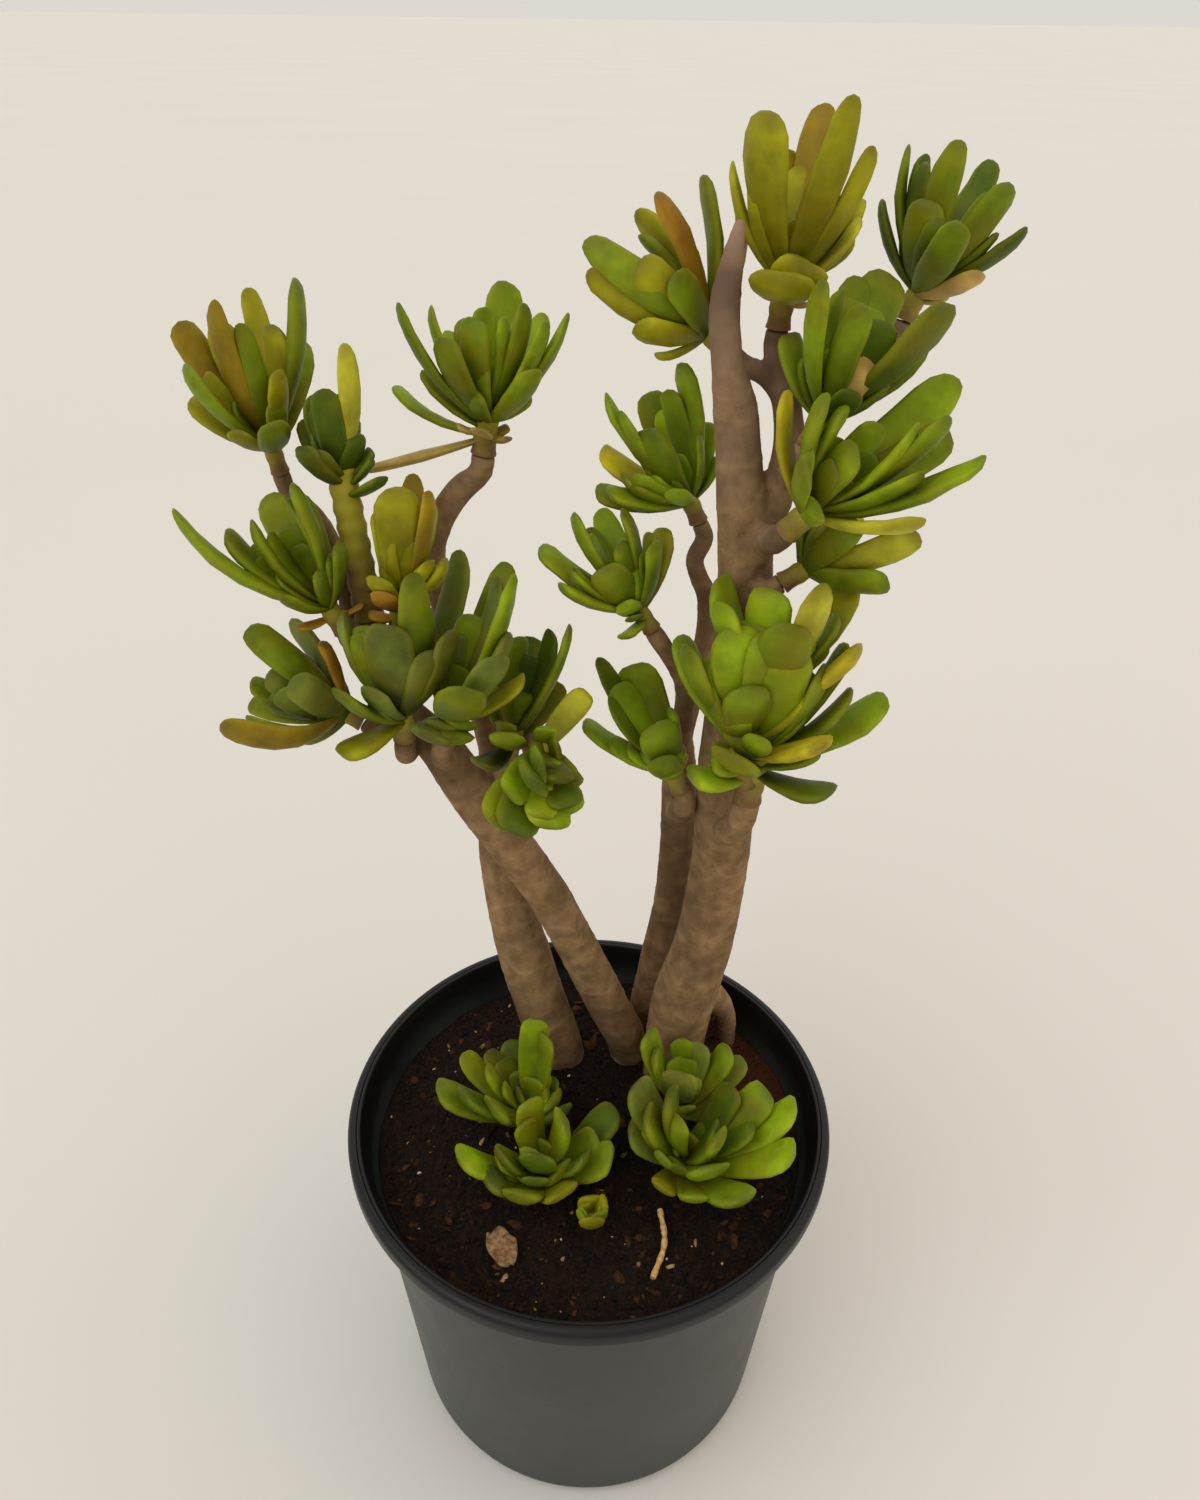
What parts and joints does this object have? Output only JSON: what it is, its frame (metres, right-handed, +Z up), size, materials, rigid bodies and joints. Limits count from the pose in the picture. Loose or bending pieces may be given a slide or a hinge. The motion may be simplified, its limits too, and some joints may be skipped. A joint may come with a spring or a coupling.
{
  "type": "potted jade bonsai",
  "caption": "Jade plant trained as a small tree: leaning woody stems, sprays of fleshy finger-like leaves and low suckers in a round plastic nursery pot of soil.",
  "frame": {"origin": "centre of the pot's flat underside, where it stands on a surface", "axes": "+Z up, along the pot's axis; +X to the right and +Y to the back as the plant is seen from its front"},
  "size_m": [0.2083, 0.1592, 0.4219],
  "materials": {
    "pot_plastic": "satin charcoal-black moulded plastic, faintly scuffed",
    "potting_mix": "crumbly dark brown potting mix with bark chips",
    "bark": "dull grey-brown bark with faint leaf-scar rings",
    "jade_leaf": "waxy green succulent leaf, yellow to bronze on some sprays",
    "dry_leaf": "dry, papery tan",
    "straw": "dry pale stalk"
  },
  "bodies": {
    "root": {"pot": "pot_plastic", "soil": "potting_mix", "stem_rear_left": "bark", "stem_front_left": "bark", "stem_slim_right": "bark", "stem_main_right": "bark", "spray_fan": "jade_leaf", "spray_finger": "jade_leaf", "spray_plume": "jade_leaf", "spray_long_leaf": "jade_leaf", "spray_bronze": "jade_leaf", "spray_crown_a": "jade_leaf", "spray_crown_b": "jade_leaf", "spray_west": "jade_leaf", "spray_east": "jade_leaf", "spray_pendant": "jade_leaf", "spray_wing": "jade_leaf", "spray_torch": "jade_leaf", "spray_far_tip": "jade_leaf", "spray_fountain": "jade_leaf", "spray_spread": "jade_leaf", "spray_under": "jade_leaf", "spray_mid_left": "jade_leaf", "spray_low_left": "jade_leaf", "spray_skirt": "jade_leaf", "spray_skirt_left": "jade_leaf", "spray_sucker_left": "jade_leaf", "spray_sucker_left_front": "jade_leaf", "spray_sucker_right": "jade_leaf", "spray_sucker_right_front": "jade_leaf", "spray_sprout": "jade_leaf", "fallen_leaf": "dry_leaf", "fallen_stalk": "straw"}
  },
  "joints": []
}
